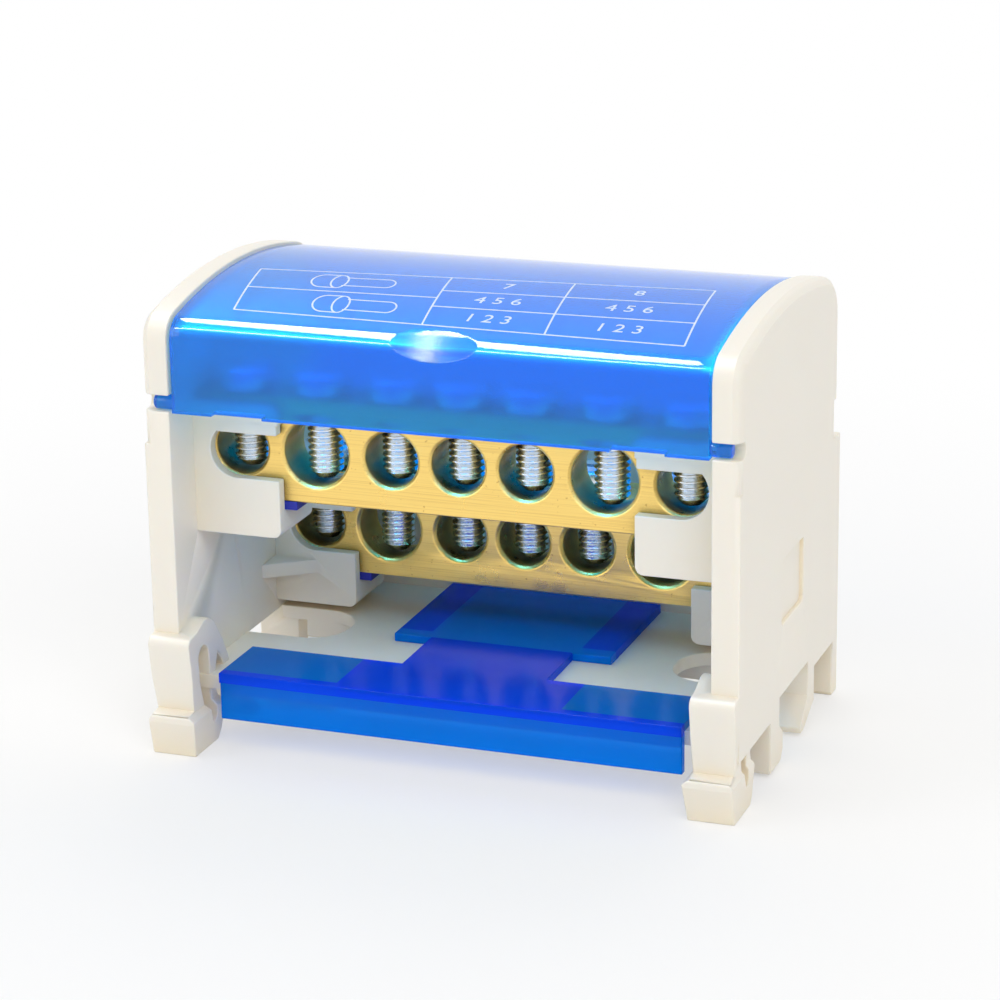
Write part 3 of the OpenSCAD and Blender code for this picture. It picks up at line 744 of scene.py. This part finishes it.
def plain_numbers(text, u, v, size):
    """Numbers set flat in the plan, centred on a place of the table, and laid on the crown."""
    curve = bpy.data.curves.new("numbers", "FONT")
    curve.body = text
    curve.size = size
    curve.extrude = INK_T
    curve.resolution_u = 3
    curve.align_x, curve.align_y = "CENTER", "CENTER"
    holder = bpy.data.objects.new("numbers", curve)
    mesh = bpy.data.meshes.new_from_object(holder)
    shape = bmesh.new()
    shape.from_mesh(mesh)
    bmesh.ops.remove_doubles(shape, verts=shape.verts, dist=1e-5)
    shape.to_mesh(mesh)
    shape.free()
    at = np.zeros(len(mesh.vertices) * 3)
    mesh.vertices.foreach_get("co", at)
    at = at.reshape(-1, 3)
    middle = cell_point(u, v)
    side = cell_point(u + 0.01, v) - middle
    side /= np.linalg.norm(side)
    up = np.array([-side[1], side[0]])
    plan = middle + at[:, :1] * side + at[:, 1:2] * up
    solid = np.column_stack([plan, on_crown(plan[:, 0], plan[:, 1]) + at[:, 2]])
    outline = [list(face.vertices) for face in mesh.polygons]
    bpy.data.objects.remove(holder)
    bpy.data.curves.remove(curve)
    bpy.data.meshes.remove(mesh)
    return solid, outline


marks = [(ink_points, ink_faces)]
for column, middle_u in enumerate((0.565, 0.85)):
    for line, text in enumerate(("1 2 3", "4 5 6", str(7 + column))):
        marks.append(plain_numbers(text, middle_u, (0.5 + line) / 3, 2.6))
points, faces = joined(marks)


def ink_material():
    """White printing ink, slightly uneven where it was pressed on."""
    material, tree, shader, place = new_material("white_ink")
    wear = shader_node(tree, "ShaderNodeTexNoise", {"Vector": place, "Scale": 1400.0})
    colour = shader_node(tree, "ShaderNodeMix",
                         {"Factor": wear.outputs["Fac"], "A": INK_WHITE, "B": (0.45, 0.66, 0.95)},
                         data_type="RGBA")
    feed(tree, shader, Base_Color=colour.outputs["Result"], Roughness=0.5)
    return material


table = mesh_piece("printed_table", points, faces, ink_material(), "cover")

# ---- Slide screen --------------------------------------------------------------
# Deep blue clear plastic: a flat T-shaped plate that slides on the floor and hangs down in front
# of the rail by a thin lip. It is polished on both faces.

# The screen's one plastic takes lighter and darker blues by region (the boxes below): painted light
# and shade where light falls on and through it.
SCREEN_MIDDLE = (0.0, 0.085, 1.0)
SCREEN_WING = (0.0, 0.24, 0.70)
SCREEN_HEAD = (0.0, 0.27, 1.0)
SCREEN_HEAD_SIDE = (0.0, 0.13, 0.95)
SCREEN_LIP = (0.0, 0.26, 0.90)
SCREEN_THROUGH = (0.12, 0.50, 1.0)
STRIP_D, NECK_L, WING_X, HEAD_SIDE = 9.2, 8.9, 13.0, 4.0

low, high = node_box("slide_screen")
strip_back = low[1] + STRIP_D
head_front = strip_back + NECK_L
far = 100.0
# Painted light and shade: boxes that give the head, its sides, the wing tops and the lip another blue.
screen_painted_light_patches = [
    (((-far, head_front, 0), (far, far, far)), SCREEN_HEAD),
    (((-far, head_front + 1.8, 0), (-WING_X + HEAD_SIDE, far, far)), SCREEN_HEAD_SIDE),
    (((WING_X - HEAD_SIDE, head_front + 1.8, 0), (far, far, far)), SCREEN_HEAD_SIDE),
    (((-far, low[1] + 1.2, high[2] - 1.5), (-WING_X, strip_back + 0.2, far)), SCREEN_WING),
    (((WING_X, low[1] + 1.2, high[2] - 1.5), (far, strip_back + 0.2, far)), SCREEN_WING),
    (((-far, -far, 0), (far, head_front, high[2] - 1.22)), SCREEN_LIP)]
screen_plastic = clear_blue("deep_blue_polycarbonate", SCREEN_MIDDLE, SCREEN_THROUGH, 0.5, 0.3,
                            0.15, 0.10, 1.22, screen_painted_light_patches)
screen = finished_copy("slide_screen", "sliding_screen", screen_plastic, "screen", 0.12)

# ---- Floor and light -----------------------------------------------------------
# A pale table top under soft boxes, with a white room all round it.

FLOOR_HALF = 900.0
FADE = (45.0, 170.0)                              # the floor turns plain white over this distance
NEAR_GLOW = 0.45
floor_mesh = bpy.data.meshes.new("floor")
floor_mesh.from_pydata(
    np.array([[-1, -1, 0], [1, -1, 0], [1, 1, 0], [-1, 1, 0]]) * FLOOR_HALF * MM
    - [0, 0, 0.02 * MM], [], [[0, 1, 2, 3]])
floor = bpy.data.objects.new("floor", floor_mesh)
bpy.context.scene.collection.objects.link(floor)
floor_material, tree, shader, place = new_material("pale_table_top")
feed(tree, shader, Base_Color=(0.93, 0.93, 0.93), Roughness=0.9)
away = vector_node(tree, "LENGTH", (place,), "Value")
fade = shader_node(tree, "ShaderNodeMapRange",
                   {0: away, 1: FADE[0] * MM, 2: FADE[1] * MM, 3: NEAR_GLOW, 4: 1.0},
                   interpolation_type="SMOOTHSTEP")
path = tree.nodes.new("ShaderNodeLightPath")
glow = shader_node(tree, "ShaderNodeEmission", {"Color": (1, 1, 1), "Strength": 1.0})
seen = math_node(tree, "MAXIMUM", path.outputs["Is Camera Ray"], path.outputs["Is Glossy Ray"])
seen = math_node(tree, "MAXIMUM", seen, path.outputs["Is Transmission Ray"])
share = math_node(tree, "MULTIPLY", fade.outputs[0], seen)
lit = shader_node(tree, "ShaderNodeMixShader", {0: share, 1: shader.outputs[0],
                                                2: glow.outputs[0]})
tree.links.new(lit.outputs[0], tree.nodes["Material Output"].inputs["Surface"])
floor_mesh.materials.append(floor_material)


def soft_box(name, at, aim, size, watts, along=(1, 0, 0)):
    """A rectangular lamp at a place, facing a point, with its long side along a direction."""
    lamp = bpy.data.lights.new(name, "AREA")
    lamp.shape = "RECTANGLE"
    lamp.size, lamp.size_y = size[0] * MM, size[1] * MM
    lamp.energy = watts
    holder = bpy.data.objects.new(name, lamp)
    bpy.context.scene.collection.objects.link(holder)
    back = (Vector(at) - Vector(aim)).normalized()
    side = (Vector(along) - back * back.dot(Vector(along))).normalized()
    turned = Matrix([side, back.cross(side), back]).transposed().to_4x4()
    holder.matrix_world = Matrix.Translation(Vector(at) * MM) @ turned
    return holder


soft_box("key_light", (260, -320, 420), (0, 0, 20), (300, 300), 0.85)
soft_box("fill_light", (-380, -260, 240), (0, 0, 20), (300, 300), 0.45)
soft_box("back_light", (0, 330, 420), (0, 0, 30), (420, 260), 0.5).visible_glossy = False
# two long lamps that only show as the bright lines along the cover's front rounding
for name, at, along, size, watts in (
        ("line_light", (-142, 0, 420), (112, -220, 30), (330, 110), 2.6),
        ("thin_line_light", (-142, -220, 365), (112, -10, 20), (330, 26), 0.7)):
    soft_box(name, at, (0, -16, 49), size, watts, along).visible_diffuse = False

world = bpy.data.worlds.new("white_room")
bpy.context.scene.world = world
world.use_nodes = True
tree = world.node_tree
background = tree.nodes["Background"]
background.inputs["Color"].default_value = (1, 1, 1, 1)
path = tree.nodes.new("ShaderNodeLightPath")
seen = math_node(tree, "MAXIMUM", path.outputs["Is Camera Ray"], path.outputs["Is Glossy Ray"])
seen = math_node(tree, "MAXIMUM", seen, path.outputs["Is Transmission Ray"])
strength = shader_node(tree, "ShaderNodeMapRange", {0: seen, 3: 0.62, 4: 1.0})
tree.links.new(strength.outputs[0], background.inputs["Strength"])

bpy.context.scene.view_settings.view_transform = "Standard"
bpy.context.scene.cycles.use_denoising = True
